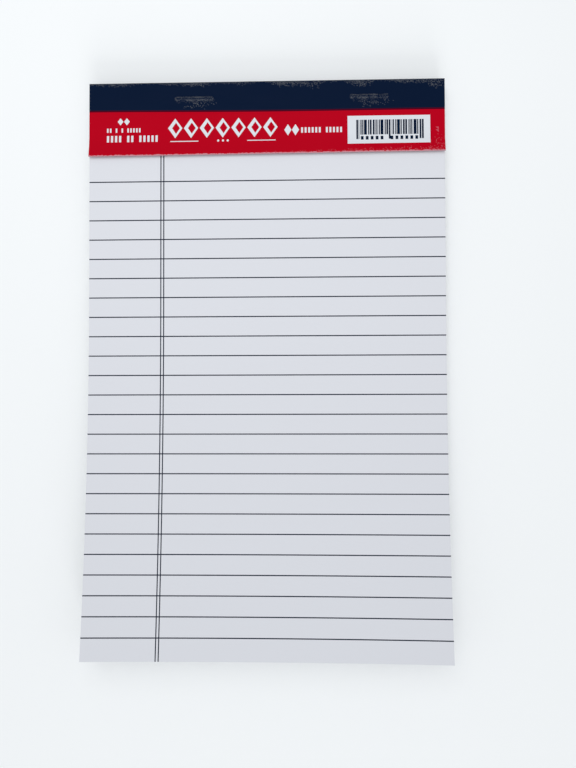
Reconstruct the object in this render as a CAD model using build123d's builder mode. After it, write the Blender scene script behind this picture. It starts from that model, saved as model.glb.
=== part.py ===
from build123d import *
import math
import os

# A top-bound legal pad in millimetres, lying on its back: forty ruled sheets on a chipboard,
# two wire staples through them near the top edge, and one card strip glued round that edge.
# +Z is up, +Y points at the bound edge and the sheets' margin is on the -X side.
# The origin is under the middle of the pad's outline, on the surface that the pad lies on.

# The pad's outline, trimmed after binding, so that sheets, board and strip are flush
pad_width = 127.0
pad_length = 203.2

# The ruled sheets: flat where they are bound, and curling up evenly towards the free edge
sheet_count = 40
sheet_thickness = 0.095
curl_start = 80.0  # from the bound edge to the line where the top sheet begins to lift
curl_radius = 1080.0  # of the top sheet beyond that line

# The backing board
board_thickness = 0.8

# The binding strip, a coated card folded over the top edge
card_thickness = 0.28
front_flap = 26.2
back_flap = 20.4

# The staples: a flattened wire, driven from the front and clinched under the board
crown_length = 12.8
leg_length = 8.0  # before clinching, from the crown's outer face to the tip
wire_width = 0.6
wire_thickness = 0.45
wire_edge_radius = 0.12
bend_radius = 0.3  # inside the wire's bends
tip_slant = 0.35  # the tip is cut aslant, so that it pierces the sheets
staple_inset = 6.15  # from the top edge to the middle of the crown
staple_places = {"left_staple": -25.7, "right_staple": 36.8}  # the crown's middle along X
crown_rise = 0.2  # how far the crown stands above the top sheet, under the strip

# The low ridge that each crown presses into the strip
ridge_margin = 0.5  # beyond the crown, all round
ridge_slope = 45.0  # degrees

# Heights and lengths that follow from the sizes above
outer_edge = pad_length / 2
free_edge = -pad_length / 2
bound_edge = outer_edge - card_thickness
board_bottom = card_thickness
board_top = board_bottom + board_thickness
stack_top = board_top + sheet_count * sheet_thickness
strip_top = stack_top + card_thickness
crown_top = stack_top + crown_rise
clinch_reach = leg_length - (crown_top - board_bottom)
staple_y = outer_edge - staple_inset
curl_line = outer_edge - curl_start
curl_angle = math.degrees((curl_line - free_edge) / curl_radius)


def staple_outline(middle):
    """Draws the closed side view of a clinched staple, a bent band of even thickness, about x = middle."""
    outside = crown_length / 2
    inside = outside - wire_thickness
    tip = outside - clinch_reach
    outer_bend = bend_radius + wire_thickness
    outer_points = [
        (middle - tip + tip_slant, board_bottom),
        (middle - outside, board_bottom),
        (middle - outside, crown_top),
        (middle + outside, crown_top),
        (middle + outside, board_bottom),
        (middle + tip - tip_slant, board_bottom),
    ]
    inner_points = [
        (middle + tip, board_bottom + wire_thickness),
        (middle + inside, board_bottom + wire_thickness),
        (middle + inside, crown_top - wire_thickness),
        (middle - inside, crown_top - wire_thickness),
        (middle - inside, board_bottom + wire_thickness),
        (middle - tip, board_bottom + wire_thickness),
    ]
    outer = FilletPolyline(*outer_points, radius=outer_bend)
    Line(outer @ 1, inner_points[0])
    inner = FilletPolyline(*inner_points, radius=bend_radius)
    Line(inner @ 1, outer @ 0)


# Staples: two alike, each bent from one wire
staples = {}
for name, place in staple_places.items():
    with BuildPart() as staple:
        with BuildSketch(Plane.XZ.offset(-staple_y)):
            with BuildLine():
                staple_outline(place)
            make_face()
        extrude(amount=wire_width / 2, both=True)
        fillet(staple.faces().filter_by(Axis.Y).edges(), radius=wire_edge_radius)
    staple.part.label = name
    staples[name] = staple.part

# Ruled sheets: one block of pages with a flat underside. Its top is flat as far as the curl line
# and an arc beyond it, because the sheets fan apart towards their free edge.
with BuildPart() as ruled_sheets:
    with BuildSketch(Plane.YZ):
        with BuildLine():
            underside = Line((free_edge, board_top), (bound_edge, board_top))
            spine = Line(underside @ 1, (bound_edge, stack_top))
            flat_top = Line(spine @ 1, (curl_line, stack_top))
            curl = JernArc(flat_top @ 1, flat_top % 1, curl_radius, -curl_angle)
            Line(curl @ 1, underside @ 0)
        make_face()
    extrude(amount=pad_width / 2, both=True)
    add(staples.values(), mode=Mode.SUBTRACT)

# Backing board: a plain rectangle, pierced by the legs and dented by the clinched ends
with BuildPart() as backing_board:
    with BuildSketch(Plane.YZ):
        with BuildLine():
            Polyline(
                (free_edge, board_bottom),
                (bound_edge, board_bottom),
                (bound_edge, board_top),
                (free_edge, board_top),
                close=True,
            )
        make_face()
    extrude(amount=pad_width / 2, both=True)
    add(staples.values(), mode=Mode.SUBTRACT)

# Binding strip: a channel section that holds the top edge of the stack between its two flaps,
# with round outer folds, and a low ridge over each staple's crown
with BuildPart() as binding_strip:
    with BuildSketch(Plane.YZ):
        with BuildLine():
            Polyline(
                (outer_edge - back_flap, 0),
                (outer_edge, 0),
                (outer_edge, strip_top),
                (outer_edge - front_flap, strip_top),
                (outer_edge - front_flap, stack_top),
                (bound_edge, stack_top),
                (bound_edge, board_bottom),
                (outer_edge - back_flap, board_bottom),
                close=True,
            )
        make_face()
    extrude(amount=pad_width / 2, both=True)
    folds = binding_strip.edges().filter_by(Axis.X).group_by(Axis.Y)[-1]
    fillet(folds, radius=card_thickness)
    with BuildSketch(Plane.XY.offset(strip_top)):
        with Locations(*[(place, staple_y) for place in staple_places.values()]):
            RectangleRounded(
                crown_length + 2 * ridge_margin,
                wire_width + 2 * ridge_margin,
                radius=ridge_margin,
            )
    extrude(amount=crown_rise, taper=ridge_slope)
    add(staples.values(), mode=Mode.SUBTRACT)

ruled_sheets.part.label = "ruled_sheets"
backing_board.part.label = "backing_board"
binding_strip.part.label = "binding_strip"

os.makedirs("parts", exist_ok=True)
for name, staple_part in staples.items():
    export_step(staple_part, f"parts/{name}.step")
export_step(ruled_sheets.part, "parts/ruled_sheets.step")
export_step(backing_board.part, "parts/backing_board.step")
export_step(binding_strip.part, "parts/binding_strip.step")
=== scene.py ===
import math

import bpy
import numpy as np
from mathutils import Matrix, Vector
from mathutils.geometry import delaunay_2d_cdt


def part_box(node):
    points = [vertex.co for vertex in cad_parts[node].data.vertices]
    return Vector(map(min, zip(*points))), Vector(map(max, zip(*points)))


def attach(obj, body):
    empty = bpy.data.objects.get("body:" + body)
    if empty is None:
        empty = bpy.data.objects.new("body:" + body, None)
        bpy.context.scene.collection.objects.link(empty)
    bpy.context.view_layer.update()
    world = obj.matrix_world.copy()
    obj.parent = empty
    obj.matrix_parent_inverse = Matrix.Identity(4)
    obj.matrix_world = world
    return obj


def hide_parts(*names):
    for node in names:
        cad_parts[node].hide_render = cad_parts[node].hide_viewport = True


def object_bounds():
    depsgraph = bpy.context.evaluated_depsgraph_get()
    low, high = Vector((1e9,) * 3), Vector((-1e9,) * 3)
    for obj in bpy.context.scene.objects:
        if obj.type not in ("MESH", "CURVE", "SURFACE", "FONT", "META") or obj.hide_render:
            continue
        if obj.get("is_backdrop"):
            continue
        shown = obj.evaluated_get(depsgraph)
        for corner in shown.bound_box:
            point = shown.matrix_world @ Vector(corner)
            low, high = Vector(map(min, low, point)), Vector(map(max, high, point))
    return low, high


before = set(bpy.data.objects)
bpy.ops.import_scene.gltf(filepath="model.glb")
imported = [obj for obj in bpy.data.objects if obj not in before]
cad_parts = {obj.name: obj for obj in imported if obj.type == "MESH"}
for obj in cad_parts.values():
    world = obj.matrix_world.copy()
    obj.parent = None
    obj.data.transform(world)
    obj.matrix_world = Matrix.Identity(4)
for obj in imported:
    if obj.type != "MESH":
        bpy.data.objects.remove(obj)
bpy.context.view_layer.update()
mm = 0.001


# ---------------------------------------------------------------- backing board
# The pad's stiff back: one rectangle of grey chipboard, pressed in thin plies from repulped
# paper and trimmed together with the sheets. The staples are clinched under its top end.

chipboard_dark = (0.235, 0.205, 0.170, 1.0)
chipboard_light = (0.395, 0.355, 0.305, 1.0)
chipboard_fleck = (0.090, 0.075, 0.065, 1.0)
chipboard_pale_fleck = (0.620, 0.590, 0.540, 1.0)


def node(tree, kind, sockets, **settings):
    """Adds one shader node, sets its choices, and sets or links the input sockets that are named."""
    made = tree.nodes.new("ShaderNode" + kind)
    for name, value in settings.items():
        setattr(made, name, value)
    for name, value in sockets.items():
        if isinstance(value, bpy.types.NodeSocket):
            tree.links.new(value, made.inputs[name])
        else:
            made.inputs[name].default_value = value
    return made.outputs


def open_material(name, **sockets):
    """Starts a material and returns it with its tree, its shader and the object's own coordinates.
    The shader's sockets are set from the words given, with _ for a space."""
    material = bpy.data.materials.new(name)
    material.use_nodes = True
    tree = material.node_tree
    shader = tree.nodes["Principled BSDF"]
    for socket, value in sockets.items():
        shader.inputs[socket.replace("_", " ")].default_value = value
    place = node(tree, "TexCoord", {})["Object"]
    return material, tree, shader, place


def noise(tree, place, grain, stretch=(1, 1, 1), detail=4.0, roughness=0.6):
    """Noise from 0 to 1 whose features are about one grain across, drawn out along each axis by stretch."""
    scale = [1 / (grain * axis) for axis in stretch]
    spread = node(tree, "Mapping", {"Vector": place, "Scale": scale}, vector_type="POINT")["Vector"]
    sockets = {"Vector": spread, "Scale": 1.0, "Detail": detail, "Roughness": roughness}
    return node(tree, "TexNoise", sockets)["Fac"]


def remap(tree, value, low, high, to_low=0.0, to_high=1.0):
    """Maps the span from low to high onto the span from to_low to to_high, and holds it at the ends."""
    sockets = {"Value": value, "From Min": low, "From Max": high, "To Min": to_low, "To Max": to_high}
    return node(tree, "MapRange", sockets, clamp=True)["Result"]


def mix_colour(tree, amount, first, second):
    """Goes from the first colour to the second as the amount goes from 0 to 1."""
    made = node(tree, "Mix", {0: amount, 6: first, 7: second}, data_type="RGBA")
    return made[2]


def add_bump(tree, shader, height, depth):
    """Tilts the shading as if the height, from 0 to 1, stood up by the depth in metres."""
    normal = node(tree, "Bump", {"Height": height, "Distance": depth, "Strength": 1.0})["Normal"]
    tree.links.new(normal, shader.inputs["Normal"])


def make_chipboard():
    """Chipboard: fibres in two directions, dark and pale flecks, and plies that show on a cut edge."""
    material, tree, shader, place = open_material("grey_chipboard", Specular_IOR_Level=0.25)
    along = noise(tree, place, 0.45 * mm, (5, 1, 1))
    across = noise(tree, place, 0.45 * mm, (1, 5, 1))
    felt = node(tree, "Math", {0: along, 1: across}, operation="ADD")["Value"]
    cloud = noise(tree, place, 9 * mm)
    plies = noise(tree, place, 0.07 * mm, (60, 60, 1), detail=2.0)
    facing = node(tree, "NewGeometry", {})["Normal"]
    upright = node(tree, "SeparateXYZ", {"Vector": facing})["Z"]
    flatness = node(tree, "Math", {0: upright}, operation="ABSOLUTE")["Value"]
    cut_edge = remap(tree, flatness, 0.3, 0.6, 1.0, 0.0)
    pulp = remap(tree, felt, 0.7, 1.3)
    layered = remap(tree, plies, 0.35, 0.65)
    pattern = node(tree, "Mix", {0: cut_edge, 2: pulp, 3: layered}, data_type="FLOAT")[0]
    shaded = node(tree, "Math", {0: cloud, 1: 0.35, 2: pattern}, operation="MULTIPLY_ADD")["Value"]
    colour = mix_colour(tree, remap(tree, shaded, 0.1, 1.15), chipboard_dark, chipboard_light)
    dark_spots = noise(tree, place, 0.5 * mm, detail=2.0)
    colour = mix_colour(tree, remap(tree, dark_spots, 0.70, 0.76), colour, chipboard_fleck)
    pale_spots = noise(tree, place, 0.7 * mm, (3, 1, 1), detail=2.0)
    colour = mix_colour(tree, remap(tree, pale_spots, 0.72, 0.80), colour, chipboard_pale_fleck)
    tree.links.new(colour, shader.inputs["Base Color"])
    tree.links.new(remap(tree, pattern, 0.0, 1.0, 0.92, 0.78), shader.inputs["Roughness"])
    add_bump(tree, shader, pattern, 0.03 * mm)
    return material


backing_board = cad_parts["backing_board"]
backing_board.active_material = make_chipboard()
board_low, board_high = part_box("backing_board")


# ---------------------------------------------------------------------- staples
# Two like staples of flattened galvanised wire, driven through the sheets and the board from
# the front and bent over under the board. The strip covers both of their ends.

zinc = (0.560, 0.570, 0.580, 1.0)
dull_zinc = (0.330, 0.340, 0.350, 1.0)
crown_rise = 0.2 * mm  # how far each crown stands above the top sheet


def make_galvanised_wire():
    """Drawn wire with a zinc coat: streaks along the crown, dull patches and fine scratches."""
    material, tree, shader, place = open_material("galvanised_wire", Metallic=1.0)
    streaks = noise(tree, place, 0.06 * mm, (40, 1, 1))
    patches = noise(tree, place, 0.8 * mm)
    dullness = remap(tree, patches, 0.40, 0.62)
    colour = mix_colour(tree, dullness, zinc, dull_zinc)
    tree.links.new(colour, shader.inputs["Base Color"])
    tree.links.new(remap(tree, streaks, 0.3, 0.7, 0.22, 0.48), shader.inputs["Roughness"])
    add_bump(tree, shader, streaks, 0.006 * mm)
    return material


galvanised_wire = make_galvanised_wire()
staples = [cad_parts[name] for name in ("left_staple", "right_staple")]
for staple in staples:
    staple.active_material = galvanised_wire


# ----------------------------------------------------------------- ruled sheets
# Forty sheets of white offset paper, ruled in dark blue ink: lines from edge to edge and a double
# margin line down the left. They are flat where they are bound and fan up towards the free edge.

sheets_low, sheets_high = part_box("ruled_sheets")
strip_low, strip_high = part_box("binding_strip")
card_thickness = board_low.z
strip_top = strip_high.z - crown_rise
stack_top = strip_top - card_thickness
outer_edge = strip_high.y
pad_length = outer_edge - sheets_low.y
half_width = sheets_high.x
sheet_count = 40
sheet_pitch = (stack_top - board_high.z) / sheet_count
paper_thickness = 0.93 * sheet_pitch  # the rest is the air between two sheets

first_line = 35.75 * mm  # from the top edge down to the first ruled line
line_spacing = 6.946 * mm
line_count = 24
line_thickness = 0.40 * mm
margin_lines = (25.84 * mm, 26.88 * mm)  # from the left edge
margin_thickness = 0.38 * mm

curl_start = 80.0 * mm  # from the top edge down to where the top sheet begins to lift
deepest_curl_start = 116.0 * mm  # the same for the lowest sheet
free_rise = sheets_high.z - stack_top  # of the top sheet at its free edge
least_rise = 0.001 * mm  # taken for a sheet with no rise, so that its arc has a radius
middle_sag = 0.12  # how much less a sheet lifts at the middle of its width than at its sides

paper_tones = [  # the top sheet is the first; each one below it is one of the four
    (0.733, 0.740, 0.774, 1.0),
    (0.748, 0.755, 0.788, 1.0),
    (0.722, 0.726, 0.756, 1.0),
    (0.708, 0.716, 0.752, 1.0),
]
ink_blue = (0.0056, 0.0110, 0.0290, 1.0)


def paper_fibres(tree, place):
    """The paper's short fibres, two and a half times as long down the sheet as across it."""
    return noise(tree, place, 0.32 * mm, (1, 2.5, 4), detail=5.0, roughness=0.75)


def make_paper(name, tone):
    """Uncoated paper: an even white, whose tooth of short fibres lies in cloudy patches."""
    material, tree, shader, place = open_material(name, Base_Color=tone, Specular_IOR_Level=0.15)
    cloud = noise(tree, place, 2.6 * mm, (1, 1, 20), detail=3.0)
    sockets = {0: cloud, 1: 0.6, 2: paper_fibres(tree, place)}
    tooth = node(tree, "Math", sockets, operation="MULTIPLY_ADD")["Value"]
    tree.links.new(remap(tree, tooth, 0.45, 1.15, 0.86, 0.70), shader.inputs["Roughness"])
    add_bump(tree, shader, tooth, 0.012 * mm)
    return material


def make_line_ink():
    """Offset ink on paper: one flat colour that keeps the paper's tooth, a little smoother than the paper."""
    colour = {"Base_Color": ink_blue, "Specular_IOR_Level": 0.12}
    material, tree, shader, place = open_material("line_ink", **colour)
    fibres = paper_fibres(tree, place)
    tree.links.new(remap(tree, fibres, 0.3, 0.7, 0.74, 0.60), shader.inputs["Roughness"])
    add_bump(tree, shader, fibres, 0.008 * mm)
    return material


def grid_faces(rows, columns):
    """The quads of a grid of points stored row by row, turned so that they face up when rows run
    towards -Y and columns towards +X."""
    corner = np.arange(rows - 1)[:, None] * columns + np.arange(columns - 1)[None, :]
    quads = np.stack([corner, corner + columns, corner + columns + 1, corner + 1], -1)
    return quads.reshape(-1, 4)


def closed_sheet(front, back, faces, first=0):
    """Closes two like surfaces into one skin: the front's faces as they are, then the back's turned round,
    then a wall along each edge that only one face has. The points are numbered from first."""
    count = len(front)
    starts, ends = faces.ravel(), np.roll(faces, -1, axis=1).ravel()
    on_rim = ~np.isin(starts * count + ends, ends * count + starts)
    start, end = starts[on_rim], ends[on_rim]
    walls = np.stack([end, start, start + count, end + count], -1)
    skin = [part + first for part in (faces, faces[:, ::-1] + count, walls)]
    return np.concatenate([front, back]), [face for part in skin for face in part.tolist()]


def make_piece(name, points, faces, slots, materials):
    """Puts points and faces into one mesh object at the origin, smooth but for edges over 30 degrees."""
    mesh = bpy.data.meshes.new(name)
    mesh.from_pydata(points, [], faces)
    for material in materials:
        mesh.materials.append(material)
    mesh.polygons.foreach_set("material_index", np.asarray(slots, np.int32))
    mesh.polygons.foreach_set("use_smooth", np.ones(len(faces), bool))
    mesh.set_sharp_from_angle(angle=math.radians(30))
    mesh.update()
    piece = bpy.data.objects.new(name, mesh)
    bpy.context.scene.collection.objects.link(piece)
    return piece


def both_edges(middles, thickness):
    """Where lines of one thickness begin and end, from the places of their middles."""
    middles = np.asarray(middles)
    return np.concatenate([middles - thickness / 2, middles + thickness / 2])


wire_thickness = 0.45 * mm
leg_hole = 0.62 * mm  # the side of the square hole that a leg punches
staple_legs = []
for staple in staples:
    low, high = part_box(staple.name)
    staple_legs += [low.x + wire_thickness / 2, high.x - wire_thickness / 2]
staple_down = outer_edge - (low.y + high.y) / 2


def ruled_grid(shift, extra_rows, extra_columns):
    """The distances down and across a sheet at which its grid is cut, so that each printed line and each
    staple hole has cells of its own, with the cells that are inked and those that are punched out.
    Shift moves the ruling down the sheet."""
    lines = first_line + shift + line_spacing * np.arange(line_count)
    margins = np.asarray(margin_lines) - half_width
    row_cuts = [both_edges(lines, line_thickness), both_edges([staple_down], leg_hole)]
    down = np.sort(np.concatenate(row_cuts + [extra_rows, [card_thickness, pad_length]]))
    column_cuts = [both_edges(margins, margin_thickness), both_edges(staple_legs, leg_hole)]
    across = np.sort(np.concatenate(column_cuts + [extra_columns, [-half_width, half_width]]))
    row_middle, column_middle = (down[1:] + down[:-1]) / 2, (across[1:] + across[:-1]) / 2
    in_line = (np.abs(row_middle[:, None] - lines) < line_thickness / 2).any(1)
    in_margin = (np.abs(column_middle[:, None] - margins) < margin_thickness / 2).any(1)
    inked = in_line[:, None] | in_margin[None, :]
    in_leg_row = np.abs(row_middle - staple_down) < leg_hole / 2
    in_leg_column = (np.abs(column_middle[:, None] - staple_legs) < leg_hole / 2).any(1)
    punched = in_leg_row[:, None] & in_leg_column[None, :]
    return down, across, inked.ravel(), punched.ravel()


def curled(down, across, start, rise):
    """Follows a sheet down from the top edge: straight as far as the start of its curl, then round an arc
    that ends the given rise higher. With length L beyond the start, the arc's radius is about
    L * L / (2 * rise) - rise / 6. The lift sags by a part of itself between the sides, most at the
    middle. Returns how far each point is from the top edge along Y, and its lift."""
    length = pad_length - start
    radius = length**2 / (2 * np.maximum(rise, least_rise)) - rise / 6
    turn = np.maximum(down - start, 0) / radius
    sag = 1 - middle_sag * (1 - (across / half_width) ** 2)
    return np.minimum(down, start) + radius * np.sin(turn), radius * (1 - np.cos(turn)) * sag


def bend_sheet(grid, start, rise, height, slip=0.0, tone=0, first=0):
    """Makes one closed sheet from its cut grid: its face lies at the given height as far as the start of
    its curl, and all of it is moved across by the slip. Returns its points, its faces and their inks."""
    down, across, inked, punched = grid
    run, lift = curled(down[:, None], across[None, :], start, rise)
    front = np.zeros((len(down), len(across), 3))
    front[..., 0] = across[None, :] + slip
    front[..., 1] = outer_edge - run
    front[..., 2] = height + lift
    back = front - [0, 0, paper_thickness]
    cells = grid_faces(len(down), len(across))[~punched]
    points, faces = closed_sheet(front.reshape(-1, 3), back.reshape(-1, 3), cells, first)
    slots = np.full(len(faces), tone)
    slots[: len(cells)][inked[~punched]] = INK
    return points, faces, slots


sheet_materials = [make_paper(f"sheet_paper_{at + 1}", tone) for at, tone in enumerate(paper_tones)]
INK = len(sheet_materials)
sheet_materials.append(make_line_ink())

# The top sheet, with cells enough for a smooth curl
between_lines = [0.17, 0.33, 0.67, 0.83]  # parts of the space from one line to the next
bare_end = 1 * mm  # no row is cut closer than this to the free edge
top_rows = first_line + line_spacing * (np.arange(line_count)[:, None] + between_lines).ravel()
top_rows = top_rows[top_rows < pad_length - bare_end]
top_columns = np.linspace(-half_width, half_width, 22)[1:-1]
top_grid = ruled_grid(0.0, top_rows, top_columns)
points, faces, slots = bend_sheet(top_grid, curl_start, free_rise, stack_top)
top_sheet = make_piece("top_sheet", points, faces, slots, sheet_materials)
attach(top_sheet, "root")
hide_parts("ruled_sheets")

# The thirty-nine below it. Each one lifts a little less than the one above, by a gap that changes
# along the free edge, so that they lie in loose clumps there.
least_gap = 0.25  # beside a gap's random part, which is 1 on average
gap_growth = 0.6  # the power of the height in the stack by which the gaps grow
gap_waviness = 0.5  # how much of a gap comes and goes along the free edge
most_side_slip, most_ruling_slip = 0.05, 0.35  # millimetres, either way
chance = np.random.default_rng(11)
lower_count = sheet_count - 1
level = np.arange(1, sheet_count + 1) / sheet_count
gap_size = (least_gap + chance.exponential(1.0, sheet_count)) * level**gap_growth
gap_waves = chance.uniform(0.4, 1.6, sheet_count)
gap_phase = chance.uniform(0, 2 * np.pi, sheet_count)
side_slip = chance.uniform(-most_side_slip, most_side_slip, lower_count) * mm
ruling_slip = chance.uniform(-most_ruling_slip, most_ruling_slip, lower_count) * mm
sheet_tones = chance.integers(0, len(paper_tones), lower_count)
lower_columns = np.linspace(-half_width, half_width, 6)[1:-1]
lower_rows = curl_start + (pad_length - curl_start) * np.linspace(0, 1, 10)[:-1]

all_points, all_faces, all_slots = [], [], []
point_count = 0
for sheet in range(lower_count):
    grid = ruled_grid(ruling_slip[sheet], lower_rows, lower_columns)
    across = grid[1]
    waves = np.sin(np.pi * gap_waves[:, None] * across[None, :] / half_width + gap_phase[:, None])
    gaps = gap_size[:, None] * (1 + gap_waviness * waves)
    rises = free_rise * np.cumsum(gaps, axis=0)[sheet] / gaps.sum(axis=0)
    start = deepest_curl_start + (curl_start - deepest_curl_start) * level[sheet]
    height = board_high.z + (sheet + 1) * sheet_pitch
    points, faces, slots = bend_sheet(
        grid, start, rises[None, :], height, side_slip[sheet], sheet_tones[sheet], point_count
    )
    all_points.append(points)
    all_faces += faces
    all_slots.append(slots)
    point_count += len(points)
points, slots = np.concatenate(all_points), np.concatenate(all_slots)
sheets_below = make_piece("sheets_below", points, all_faces, slots, sheet_materials)
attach(sheets_below, "root")
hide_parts("ruled_sheets")


# ---------------------------------------------------------------- binding strip
# One piece of coated card, printed flat in dark blue and red, then folded over the top edge of the
# pad and glued down. It hides the staples, whose crowns press low ridges into it from below.

front_flap = (outer_edge - strip_low.y) / mm  # the blank is drawn in millimetres
back_flap = 20.4
card = card_thickness / mm
spine = strip_top / mm
blank_half = half_width / mm
blank_width = 2 * blank_half
fold_radius = 0.42
spine_flat = spine - 2 * fold_radius
fold_turn = fold_radius * math.pi / 2
first_fold = front_flap - fold_radius
second_fold = first_fold + fold_turn + spine_flat
blank_length = second_fold + fold_turn + back_flap - fold_radius
edge_slant = 0.3  # the front cut edge is out of square by so much at each end
edge_reach = 0.35  # and reaches so much further down than the plain strip's

print_blue = (0.0028, 0.0092, 0.0300, 1.0)
# painted sheen: a lighter blue-grey that stands in for light caught along the fold and on the staple ridges
# and dimples
painted_sheen_blue = (0.0720, 0.0780, 0.0930, 1.0)
overprint = (0.0740, 0.0010, 0.0120, 1.0)
print_red = (0.470, 0.0006, 0.0115, 1.0)
worn_red = (0.540, 0.080, 0.110, 1.0)
print_white = (0.725, 0.745, 0.780, 1.0)
bare_card = (0.550, 0.240, 0.280, 1.0)
# painted shade: a dark grey on the cut walls that stands in for the shadow along the card's lifted cut edge
shaded_cut_card = (0.155, 0.140, 0.160, 1.0)


def make_coated_print(name, colour):
    """Ink on coated card: an even colour, with a slight orange-peel surface and scuffed, duller patches."""
    material, tree, shader, place = open_material(name, Base_Color=colour, Specular_IOR_Level=0.015)
    peel = noise(tree, place, 0.5 * mm, detail=3.0)
    rub = noise(tree, place, 7 * mm, (3, 1, 1), detail=6.0, roughness=0.7)
    tree.links.new(remap(tree, rub, 0.35, 0.65, 0.34, 0.52), shader.inputs["Roughness"])
    add_bump(tree, shader, peel, 0.010 * mm)
    return material


def make_bare_card(name, colour):
    """The card where it isn't printed: stained by the ink beside it, matt and fibrous. Given dark grey, it is
    the painted shade on the card's cut walls.
    """
    material, tree, shader, place = open_material(name, Base_Color=colour, Specular_IOR_Level=0.15)
    fibres = noise(tree, place, 0.22 * mm, (2, 1, 1), detail=4.0, roughness=0.7)
    tree.links.new(remap(tree, fibres, 0.3, 0.7, 0.95, 0.80), shader.inputs["Roughness"])
    add_bump(tree, shader, fibres, 0.03 * mm)
    return material


def rectangle(left, right, top, bottom):
    """Four corners, from distances across from the left edge and down from the top edge."""
    return np.array([(left, top), (right, top), (right, bottom), (left, bottom)], float)


def lozenge(middle, across, top, bottom):
    """A lozenge that is so far across, upright about a vertical line."""
    waist = (top + bottom) / 2
    return np.array(
        [(middle, top), (middle + across / 2, waist), (middle, bottom), (middle - across / 2, waist)]
    )


def disc(across, down, radius):
    """A round spot, as sixteen points on a circle."""
    turn = np.arange(16) * np.pi / 8
    return np.stack([across + radius * np.cos(turn), down + radius * np.sin(turn)], -1)


block_share = 0.55  # of its room that a block fills


def row_of_blocks(left, right, top, bottom, words):
    """Small upright blocks between left and right: groups of so many, one block's room left between
    groups."""
    room = (right - left) / (sum(words) + len(words) - 1)
    blocks = []
    at = left
    for word in words:
        for _ in range(word):
            blocks.append(rectangle(at, at + block_share * room, top, bottom))
            at += room
        at += room
    return blocks


BLUE, RED, WHITE, BARE, PAINTED_SHEEN, WORN, OVERPRINT, SHADED_CUT = range(8)
shapes = [(BLUE, rectangle(0, blank_width, front_flap - blank_length, front_flap))]

# The red field, from a slightly bowed line down to the cut edge, and the blue that overlaps it
field_left, field_slope, field_bow, overlap = 9.95, 0.65, 0.30, 0.58
field_across = np.linspace(0, blank_width, 28)
along = field_across / blank_width
field_top = field_left + field_slope * along + field_bow * np.sin(np.pi * along) ** 2
field_line = np.stack([field_across, field_top], -1)
cut_edge = [(blank_width, front_flap), (0, front_flap)]
shapes.append((RED, np.concatenate([field_line, cut_edge])))
shapes.append((OVERPRINT, np.concatenate([field_line, field_line[::-1] + [0, overlap]])))

# Ink broken off along the cut edge, where the card shows
least_broken, most_broken = 0.16, 0.50
edge_across = np.linspace(0, blank_width, 380)
broken = front_flap - chance.uniform(least_broken, most_broken, len(edge_across))
shapes.append((BARE, np.concatenate([np.stack([edge_across, broken], -1), cut_edge])))

# A row of seven open lozenges, thick on one side, over two rules and three dots
mark_top, mark_bottom = 13.2, 20.2
mark_left, mark_right, mark_count = 28.2, 68.0, 7
mark_gap, mark_stroke, hole_narrowing, hole_shift = 0.5, 1.5, 2.9, 0.28
mark_pitch = (mark_right - mark_left) / mark_count
for mark in range(mark_count):
    middle = mark_left + (mark + 0.5) * mark_pitch
    hole_top, hole_bottom = mark_top + mark_stroke, mark_bottom - mark_stroke
    shapes.append((WHITE, lozenge(middle, mark_pitch - mark_gap, mark_top, mark_bottom)))
    shapes.append((RED, lozenge(middle + hole_shift, mark_pitch - hole_narrowing, hole_top, hole_bottom)))
rule_top, rule_bottom, rule_length = 21.15, 21.45, 10.1
for left in (29.3, 56.9):
    shapes.append((WHITE, rectangle(left, left + rule_length, rule_top, rule_bottom)))
dots_down, dot_radius = 21.2, 0.40
for middle in (46.5, 48.2, 49.9):
    shapes.append((WHITE, disc(middle, dots_down, dot_radius)))

# Two pairs of solid lozenges, and three rows of plain blocks
lozenge_pairs = [((11.3, 13.6), 2.1, 12.8, 15.4), ((71.4, 74.1), 2.6, 15.8, 19.8)]
for pair, width, top, bottom in lozenge_pairs:
    shapes += [(WHITE, lozenge(middle, width, top, bottom)) for middle in pair]
block_rows = [
    (6.4, 19.0, 16.5, 18.0, (2, 1, 1, 5)),
    (6.4, 25.4, 19.1, 21.3, (4, 2, 5)),
    (76.1, 91.2, 17.0, 18.9, (6, 5)),
]
for row in block_rows:
    shapes += [(WHITE, block) for block in row_of_blocks(*row)]

# A white panel with upright bars, whose widths and gaps step through a short cycle, over small blocks
shapes.append((WHITE, rectangle(92.6, 121.8, 13.15, 23.1)))
bar_count = 29
bars_left, bars_right, bars_top, bars_bottom, long_bars_bottom = 95.7, 119.5, 14.6, 19.9, 21.5
bar_widths = np.resize([3, 1, 2, 2, 5, 2, 3], bar_count)
gap_widths = np.resize([1, 2, 1, 1, 2], bar_count)
bar_unit = (bars_right - bars_left) / (bar_widths.sum() + gap_widths[:-1].sum())
bar_starts = bars_left + bar_unit * (np.cumsum(bar_widths + gap_widths) - bar_widths - gap_widths)
bar_bottoms = np.full(bar_count, bars_bottom)
bar_bottoms[[0, 1, bar_count // 2, -2, -1]] = long_bars_bottom
for start, width, bottom in zip(bar_starts, bar_widths * bar_unit, bar_bottoms):
    shapes.append((BLUE, rectangle(start, start + width, bars_top, bottom)))
blocks_left, blocks_right, blocks_top, blocks_bottom = bars_left + 1.6, bars_right - 1.2, 20.4, 21.7
small_blocks = row_of_blocks(blocks_left, blocks_right, blocks_top, blocks_bottom, (5, 6))
shapes += [(BLUE, block) for block in small_blocks]


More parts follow.
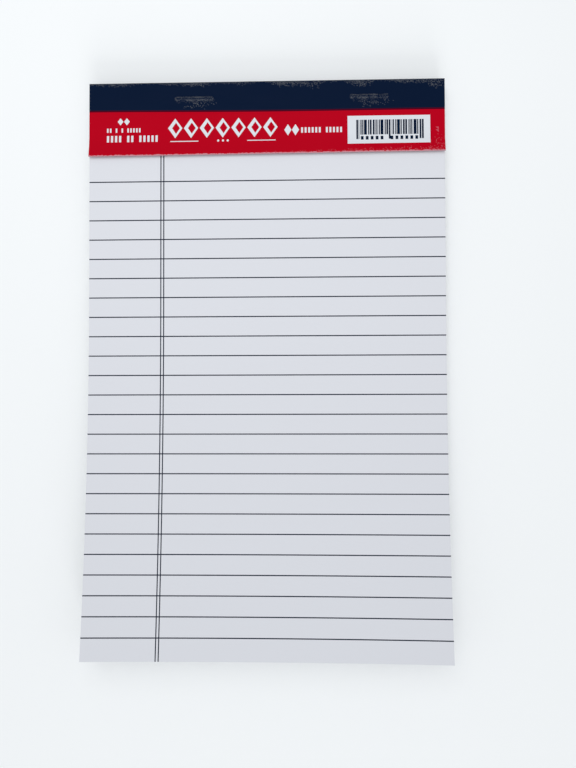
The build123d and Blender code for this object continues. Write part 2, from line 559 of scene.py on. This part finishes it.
def cut_blank(shapes, loose):
    """Cuts the flat blank into triangles along every printed outline, through the loose points as well.
    The blank's own height runs up from the cut edge of the front flap: height = front_flap - down.
    Returns the points, the triangles and each triangle's ink, which is that of the last shape over it."""
    corners, outlines = [], []
    for _, outline in shapes:
        points = np.stack([outline[:, 0] - blank_half, front_flap - outline[:, 1]], -1)
        turned = np.roll(points, -1, axis=0)
        area = (points[:, 0] * turned[:, 1] - turned[:, 0] * points[:, 1]).sum()
        points = points if area > 0 else points[::-1]
        outlines.append(list(range(len(corners), len(corners) + len(points))))
        corners += points.tolist()
    corners += loose.tolist()
    inside_only, closeness = 1, 1e-4  # keeps the triangles inside the outlines; joins closer points
    cut = delaunay_2d_cdt([Vector(corner) for corner in corners], [], outlines, inside_only, closeness)
    points, triangles, covered = cut[0], cut[2], cut[5]
    inks = np.array([ink for ink, _ in shapes])
    return np.array(points), np.array(triangles), inks[[max(over) for over in covered]]


def smooth_step(value, low, high):
    """0 below low, 1 above high, and 3 t^2 - 2 t^3 between them."""
    t = np.clip((value - low) / (high - low), 0, 1)
    return t * t * (3 - 2 * t)


crowns = []
for staple in staples:
    low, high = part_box(staple.name)
    crowns.append(((low.x + high.x) / 2 / mm, front_flap - (outer_edge - (low.y + high.y) / 2) / mm))
crown_half = (high.x - low.x) / 2 / mm
wire_half = (high.y - low.y) / 2 / mm


def crown_distance(across, height, crown):
    """How far a point of the blank is from the line along the middle of a crown."""
    beyond = np.maximum(np.abs(across - crown[0]) - crown_half + wire_half, 0)
    return np.hypot(beyond, height - crown[1])


# How the folded card departs from a plain channel, in millimetres. Heights are up the blank.
ridge_top, ridge_foot = 0.3, 0.8  # half the width of a ridge at its top and at its foot
lift, lift_full, lift_end = 0.92, -3.0, 7.0  # of the front flap, and the heights that it fades between
corner_lift, corner_reach = 0.08, 9.0  # more at the left corner, dying away to the right
dimple_depth, dimple_half_width, dimple_half_height, dimple_drop = 0.07, 8.5, 3.2, 1.0
bevel_depth, bevel_height = 0.13, 0.30  # the cut edge's worn upper corner
ragged_depth, ragged_end = 0.035, 0.5  # the unevenness of the cut edge along the page
slant_end = 9.0  # the height at which the cut edge's slant and reach are gone


def raised(across, height):
    """How far the card stands off the pad: a ridge over each crown that falls off by a smooth step, and
    the front flap's lift with two small waves along it and an exponential rise to its left corner."""
    crown_ridges = np.zeros_like(across)
    for crown in crowns:
        distance = crown_distance(across, height, crown)
        crown_ridges += crown_rise / mm * (1 - smooth_step(distance, ridge_top, ridge_foot))
    waves = 0.05 * np.sin(across * 0.21 + 1.0) + 0.03 * np.sin(across * 0.55)
    corner = corner_lift * np.exp(-(across + blank_half) / corner_reach)
    return crown_ridges + (1 - smooth_step(height, lift_full, lift_end)) * (lift + waves + corner)


def pressed(across, height):
    """How far the outer face is pressed in: an oval dimple round each crown, but not on its ridge, that
    fades by a smooth step, and a bevel along the cut edge."""
    depth = bevel_depth * (1 - smooth_step(height, 0.0, bevel_height))
    for crown in crowns:
        beside = (across - crown[0]) / dimple_half_width
        above = (height - crown[1] + dimple_drop) / dimple_half_height
        oval = 1 - smooth_step(np.hypot(beside, above), 0.2, 1.0)
        off_ridge = smooth_step(crown_distance(across, height, crown), 0.3, 0.9)
        depth += dimple_depth * oval * off_ridge
    return depth


def fold_blank(points, inner):
    """Bends the flat blank round the pad's edge. The height up the blank runs along the front flap, turns
    a quarter of a circle, runs down the spine, turns again and runs back under the board. The inner face
    lies one card's thickness inside the outer one, along its normal. The cut edge is a little out of
    square and ragged, by a product of two sines that fades by a smooth step."""
    across, height = points.T
    turn_one = np.clip((height - first_fold) / fold_radius, 0, np.pi / 2)
    turn_two = np.clip((height - second_fold) / fold_radius, 0, np.pi / 2)
    down_spine = np.clip(height - first_fold - fold_turn, 0, spine_flat)
    along_back = np.clip(height - second_fold - fold_turn, 0, None)
    y = np.minimum(height, first_fold) + fold_radius * (np.sin(turn_one) - 1 + np.cos(turn_two)) - along_back
    z = spine - fold_radius * (1 - np.cos(turn_one)) - down_spine - fold_radius * np.sin(turn_two)
    out_y, out_z = np.sin(turn_one + turn_two), np.cos(turn_one + turn_two)
    relief = raised(across, height) - (card if inner else pressed(across, height))
    slant = (edge_slant * across / blank_half - edge_reach) * (1 - smooth_step(height, 0.0, slant_end))
    ragged = ragged_depth * np.sin(across * 7.1) * np.sin(across * 3.3 + 0.7)
    ragged = ragged * (1 - smooth_step(height, 0.0, ragged_end))
    y = strip_low.y / mm + y + relief * out_y + ragged + slant
    return np.stack([across, y, z + relief * out_z], -1) * mm


def net(across, height):
    """Every pair of a distance across and a height, as one list of points."""
    return np.stack(np.meshgrid(across, height), -1).reshape(-1, 2)


def across_blank(count):
    """Distances across the whole blank, in equal steps."""
    return np.linspace(-blank_half, blank_half, count)


# Loose points: a coarse net all over, rows round both folds, and fine nets over the crowns and under
# them, below the first fold and along the cut edge, where the painted sheen and the worn red are laid
# triangle by triangle
fold_steps = np.linspace(0, fold_turn, 7)
spine_start, back_start = first_fold + fold_turn, second_fold + fold_turn
front_heights = np.linspace(0, first_fold - 0.4, 27)
spine_heights = spine_start + np.linspace(0.3, spine_flat - 0.3, 5)
back_heights = np.linspace(back_start + 0.4, blank_length, 14)
fold_heights = np.concatenate([first_fold + fold_steps, second_fold + fold_steps])
plain_heights = np.concatenate([front_heights, spine_heights, back_heights])
loose = [net(across_blank(116), plain_heights), net(across_blank(116), fold_heights)]
loose.append(net(across_blank(400), [0.0, 0.15, 0.3, 0.5]))
ridge_step, patch_step, fold_step, wear_step = 0.24, 0.34, 0.32, 0.33
for crown in crowns:
    over_ridge = crown[0] + np.arange(-crown_half - 1.0, crown_half + 1.01, ridge_step)
    loose.append(net(over_ridge, crown[1] + np.linspace(-1.2, 1.2, 19)))
    under_ridge = crown[0] + np.arange(-crown_half - 1.5, crown_half + 3.5, patch_step)
    loose.append(net(under_ridge, crown[1] - np.arange(1.5, 4.2, patch_step)))
loose.append(net(across_blank(385), first_fold - 0.1 - np.arange(14) * fold_step))
loose.append(net(across_blank(385), first_fold + fold_steps[:4]))
loose.append(net(across_blank(385), spine_start + np.array([0.25, 0.55, 0.85])))
loose.append(net(np.arange(-20, blank_half, wear_step), 0.65 + np.arange(6) * wear_step))
loose.append(net(np.arange(blank_half - 5, blank_half, wear_step), 2.65 + np.arange(12) * wear_step))

flat_points, triangles, inks = cut_blank(shapes, np.concatenate(loose))


def clumps(across, height, size):
    """Uneven patches from 0 to 1: two products of two sine waves each, added and clipped, whose quickest
    wave is size times two pi long."""
    upright = np.sin(across / size) * np.sin(across * 0.37 / size + 1.0)
    down_right = np.sin(across * 0.71 / size + height / size)
    down_left = np.sin(height * 1.3 / size + across * 0.21 / size)
    return np.clip(0.5 + 0.45 * (upright + down_right * down_left), 0, 1)


fold_sheen, least_fold_sheen = 0.62, 0.35  # the most chance of painted sheen along the fold, and what is even in it
least_reach, more_reach = 1.0, 3.4  # how far below the fold the painted sheen may reach
ring_distance, ring_core, ring_edge = 0.55, 0.10, 0.40  # from the middle of a crown, and to either side
# The painted sheen round each crown: a streaked ring, a little on its top, and an oval patch below it
ring_sheen, streaky_ring_sheen, top_sheen, top_half = 0.18, 0.62, 0.16, 0.4
patch_sheen, patch_half_width, patch_half_height = 0.20, 8.5, 2.8
patch_right, patch_drop, steady_part = 1.0, 1.4, 0.3


def sheen_chance(across, height):
    """The chance from 0 to 1 that the blue takes the painted sheen, a lighter blue-grey for light caught by
    the card's relief: high along the fold, with a ragged lower end that reaches further on the right; then a
    ring round each crown, streaked, with a little on its top, and a faint oval patch below each one. Where
    they meet, the highest chance holds."""
    below_fold = first_fold + fold_turn / 2 - height
    patchy = clumps(across, height, 3.1)
    reach = least_reach + more_reach * patchy**2 * (0.3 + 0.7 * smooth_step(across, -30, 5))
    fold_band = (1 - smooth_step(below_fold, 0.2, reach)) * smooth_step(below_fold, -0.9, 0.1)
    chance_here = fold_sheen * fold_band * (least_fold_sheen + (1 - least_fold_sheen) * patchy)
    streaky = clumps(across, height, 0.9)
    for crown in crowns:
        distance = crown_distance(across, height, crown)
        from_ring = np.abs(distance - ring_distance)
        ring = (1 - smooth_step(from_ring, ring_core, ring_edge)) * (ring_sheen + streaky_ring_sheen * streaky)
        on_top = top_sheen * (distance < top_half)
        beside = (across - crown[0] - patch_right) / patch_half_width
        above = (height - crown[1] + patch_drop) / patch_half_height
        patch = 1 - smooth_step(np.hypot(beside, above), 0.3, 1.0)
        below = patch_sheen * patch * (steady_part + streaky)
        chance_here = np.maximum(chance_here, np.maximum(ring + on_top, below))
    return chance_here


edge_wear, corner_wear, corner_spot = 0.30, 0.11, 8.0


def fraying(across, height):
    """The chance from 0 to 1 that the red has come off: by a smooth step up from the cut edge that rises
    to the right, and by another round the right corner. The higher one holds."""
    along = smooth_step(across, -25, 60)
    edge = edge_wear * along * (1 - smooth_step(height, 0.2, 0.6 + 1.6 * along))
    from_corner = np.hypot(across - blank_half, 0.7 * (height - 2.0))
    return np.maximum(edge, corner_wear * (1 - smooth_step(from_corner, 1.0, corner_spot)))


# The painted sheen on the blue and the worn red, triangle by triangle, and the closed card
middles = flat_points[triangles].mean(1)
luck = chance.random(len(inks))
sheen_field = 12  # the blue above the panel and its bars lies this close to the top edge
on_field = middles[:, 1] > front_flap - sheen_field
# Blue cells on the field that take the painted sheen, and red cells that are worn
sheen_cells = (inks == BLUE) & on_field & (luck < sheen_chance(*middles.T))
frayed = (inks == RED) & (luck < fraying(*middles.T))
inks = np.where(sheen_cells, PAINTED_SHEEN, np.where(frayed, WORN, inks))
outer, inner = fold_blank(flat_points, False), fold_blank(flat_points, True)
points, faces = closed_sheet(outer, inner, triangles)
# Every wall of the card takes the painted shade, the dark grey for the shadow along the lifted cut edge
slots = np.full(len(faces), SHADED_CUT)
slots[: 2 * len(triangles)] = BARE
slots[: len(triangles)] = inks
strip_materials = [
    make_coated_print("print_blue", print_blue),
    make_coated_print("print_red", print_red),
    make_coated_print("print_white", print_white),
    make_bare_card("bare_card", bare_card),
    make_coated_print("painted_sheen_blue", painted_sheen_blue),
    make_coated_print("worn_red", worn_red),
    make_coated_print("overprint", overprint),
    make_bare_card("shaded_cut_card", shaded_cut_card),
]
binding_card = make_piece("binding_card", points, faces, slots, strip_materials)
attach(binding_card, "root")
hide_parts("binding_strip")


# ------------------------------------------------------------- floor and lights
# A wide pale floor that fades into the walls of a pale room, a soft lamp over the bound edge, and
# another low beyond the free edge, which lights the floor more than the sheets that tilt away from it.

floor_half = 4.0
floor_mesh = bpy.data.meshes.new("floor")
floor_corners = [(-floor_half, -floor_half, 0), (floor_half, -floor_half, 0)]
floor_corners += [(floor_half, floor_half, 0), (-floor_half, floor_half, 0)]
floor_mesh.from_pydata(floor_corners, [], [(0, 1, 2, 3)])
floor = bpy.data.objects.new("floor", floor_mesh)
bpy.context.scene.collection.objects.link(floor)
floor_white, wall_white = (0.933, 0.946, 0.940, 1.0), (0.93, 0.96, 1.0, 1.0)
paint = {"Base_Color": floor_white, "Emission_Color": wall_white, "Roughness": 0.9, "Specular_IOR_Level": 0.1}
floor_paint, tree, shader, place = open_material("floor_paint", **paint)
distance = node(tree, "VectorMath", {0: place}, operation="LENGTH")["Value"]
glow_start, glow_end, far_glow = 0.7, 2.6, 0.26  # metres, and what makes the far floor as pale as the walls
glow = remap(tree, distance, glow_start, glow_end, 0.0, far_glow)
tree.links.new(glow, shader.inputs["Emission Strength"])
floor_mesh.materials.append(floor_paint)
floor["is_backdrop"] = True

room = bpy.data.worlds.new("pale_room")
room.use_nodes = True
walls = room.node_tree.nodes["Background"].inputs
walls["Color"].default_value = wall_white
seen_directly = node(room.node_tree, "LightPath", {})["Is Camera Ray"]
room_light, wall_brightness = 0.69, 0.90  # what the room sheds on the pad, and how pale it looks
brightness = remap(room.node_tree, seen_directly, 0.0, 1.0, room_light, wall_brightness)
room.node_tree.links.new(brightness, walls["Strength"])
bpy.context.scene.world = room


def soft_lamp(name, place, size, power):
    """A square area lamp that faces the pad's middle."""
    lamp_data = bpy.data.lights.new(name, "AREA")
    lamp_data.size = size
    lamp_data.energy = power
    lamp = bpy.data.objects.new(name, lamp_data)
    lamp.location = place
    lamp.rotation_euler = (-Vector(place)).to_track_quat("-Z", "Y").to_euler()
    bpy.context.scene.collection.objects.link(lamp)


soft_lamp("key_lamp", (-0.05, 0.20, 0.35), 0.30, 0.46)
soft_lamp("low_lamp", (0.10, -1.10, 0.30), 0.50, 6.5)


# ----------------------------------------------------------------------- camera
# A wide lens close above the pad, a little to the right of its middle.

camera_data = bpy.data.cameras.new("camera")
camera_data.sensor_width = 36.0
camera_data.lens = 23.051
camera_data.clip_start = 10 * mm
camera = bpy.data.objects.new("camera", camera_data)
camera.location = (11.52 * mm, -9.34 * mm, 179.01 * mm)
camera.rotation_euler = [math.radians(angle) for angle in (0.830, 1.258, -0.143)]
bpy.context.scene.collection.objects.link(camera)
bpy.context.scene.camera = camera
bpy.context.scene.view_settings.view_transform = "Standard"

low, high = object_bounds()
